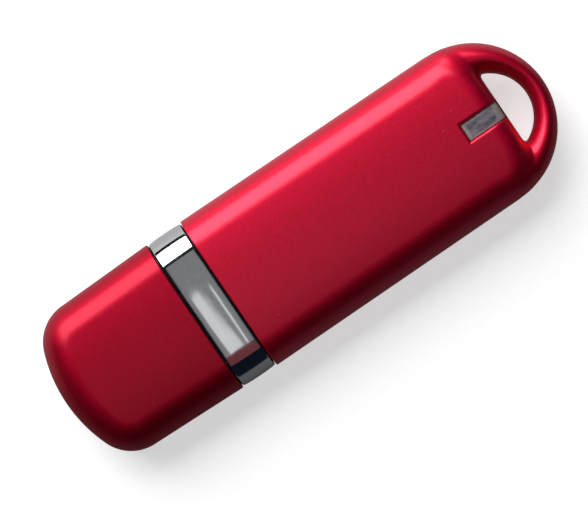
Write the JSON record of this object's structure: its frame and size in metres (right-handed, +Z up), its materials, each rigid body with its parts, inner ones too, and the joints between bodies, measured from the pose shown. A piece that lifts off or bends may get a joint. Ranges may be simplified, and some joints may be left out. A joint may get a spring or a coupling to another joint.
{
  "type": "usb flash drive",
  "caption": "Flat pocket USB flash drive with a pull-off cap, a plated collar, a key-ring eye at its end and a frosted light strip beside the eye.",
  "frame": {"origin": "middle of the footprint, on the surface the drive lies on (its flat underside)", "axes": "+X along the length towards the key-ring eye, the plug and cap point to -X; +Y across; +Z up, the face with the light strip is on top"},
  "size_m": [0.0666, 0.02, 0.008],
  "materials": {
    "paint": "satin metallic crimson lacquer over moulded plastic",
    "chrome": "bright electroplated chrome over moulded plastic",
    "frosted": "frosted clear polycarbonate, smoky grey over the dark inside",
    "liner": "moulded black polypropylene",
    "nickel": "nickel-plated folded steel sheet with faint rolling marks",
    "insulator": "glass-filled nylon, off-white",
    "gold": "gold flash over phosphor bronze",
    "tin": "tinned leads and solder, satin",
    "board": "green solder mask over glass-fibre laminate",
    "mould_compound": "black epoxy moulding compound",
    "can": "seam-welded steel lid on a ceramic base",
    "led": "clear resin over a white base",
    "ceramic": "fired ceramic with tinned ends",
    "resistor": "black glass over ceramic with tinned ends"
  },
  "bodies": {
    "drive": {"upper_shell": "paint", "lower_shell": "paint", "collar": "chrome", "light_guide": "frosted", "plug_shell": "nickel", "plug_insulator": "insulator", "plug_contacts": "gold", "solder_joints": "tin", "circuit_board": "board", "flash_chip": "mould_compound", "flash_leads": "tin", "controller_chip": "mould_compound", "controller_leads": "tin", "crystal": "can", "status_led": "led", "capacitors": "ceramic", "resistors": "resistor", "voltage_regulator": "mould_compound", "regulator_leads": "tin"},
    "cap": {"cap_shell": "paint", "cap_liner": "liner"}
  },
  "joints": [
    {"name": "cap_pull", "type": "slide", "parent": "drive", "child": "cap", "axis": [-1, 0, 0], "range_m": [0, 0.03]}
  ]
}
